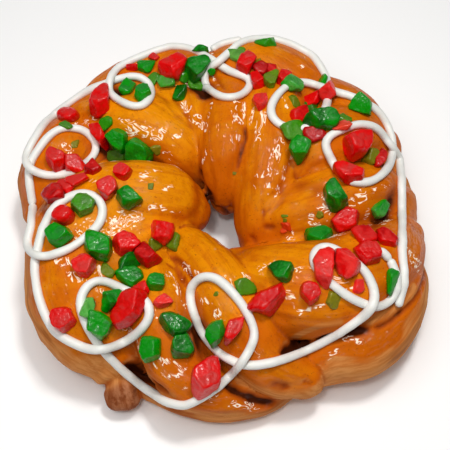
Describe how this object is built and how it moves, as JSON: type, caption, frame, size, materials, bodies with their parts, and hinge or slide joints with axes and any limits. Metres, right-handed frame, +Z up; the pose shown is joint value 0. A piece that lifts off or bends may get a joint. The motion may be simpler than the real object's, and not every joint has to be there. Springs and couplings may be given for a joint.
{
  "type": "cinnamon ring bread",
  "caption": "Braided ring loaf with a narrow hole, a looped bead of white icing and diced candied fruit in red and green.",
  "frame": {"origin": "on the flat base, below the middle of the loaf's box", "axes": "+Z up; -Y towards the side seen nearest in the picture; +X to its right"},
  "size_m": [0.2601, 0.2617, 0.09],
  "materials": {
    "bread_crust": "glazed, glossy amber crust",
    "candied_red": "glossy, slightly translucent candied fruit",
    "candied_green": "glossy, slightly translucent candied fruit"
  },
  "bodies": {
    "root": {"bread_ring": "bread_crust", "candied_red_01": "candied_red", "candied_red_02": "candied_red", "candied_red_03": "candied_red", "candied_red_04": "candied_red", "candied_red_05": "candied_red", "candied_red_06": "candied_red", "candied_red_07": "candied_red", "candied_red_08": "candied_red", "candied_red_09": "candied_red", "candied_red_10": "candied_red", "candied_red_11": "candied_red", "candied_red_12": "candied_red", "candied_red_13": "candied_red", "candied_red_14": "candied_red", "candied_red_15": "candied_red", "candied_red_16": "candied_red", "candied_red_17": "candied_red", "candied_red_18": "candied_red", "candied_red_19": "candied_red", "candied_red_20": "candied_red", "candied_red_21": "candied_red", "candied_red_22": "candied_red", "candied_red_23": "candied_red", "candied_red_24": "candied_red", "candied_red_25": "candied_red", "candied_red_26": "candied_red", "candied_red_27": "candied_red", "candied_red_28": "candied_red", "candied_red_29": "candied_red", "candied_red_30": "candied_red", "candied_red_31": "candied_red", "candied_red_32": "candied_red", "candied_red_33": "candied_red", "candied_red_34": "candied_red", "candied_green_01": "candied_green", "candied_green_02": "candied_green", "candied_green_03": "candied_green", "candied_green_04": "candied_green", "candied_green_05": "candied_green", "candied_green_06": "candied_green", "candied_green_07": "candied_green", "candied_green_08": "candied_green", "candied_green_09": "candied_green", "candied_green_10": "candied_green", "candied_green_11": "candied_green", "candied_green_12": "candied_green", "candied_green_13": "candied_green", "candied_green_14": "candied_green", "candied_green_15": "candied_green", "candied_green_16": "candied_green", "candied_green_17": "candied_green", "candied_green_18": "candied_green", "candied_green_19": "candied_green", "candied_green_20": "candied_green", "candied_green_21": "candied_green", "candied_green_22": "candied_green", "candied_green_23": "candied_green", "candied_green_24": "candied_green"}
  },
  "joints": []
}
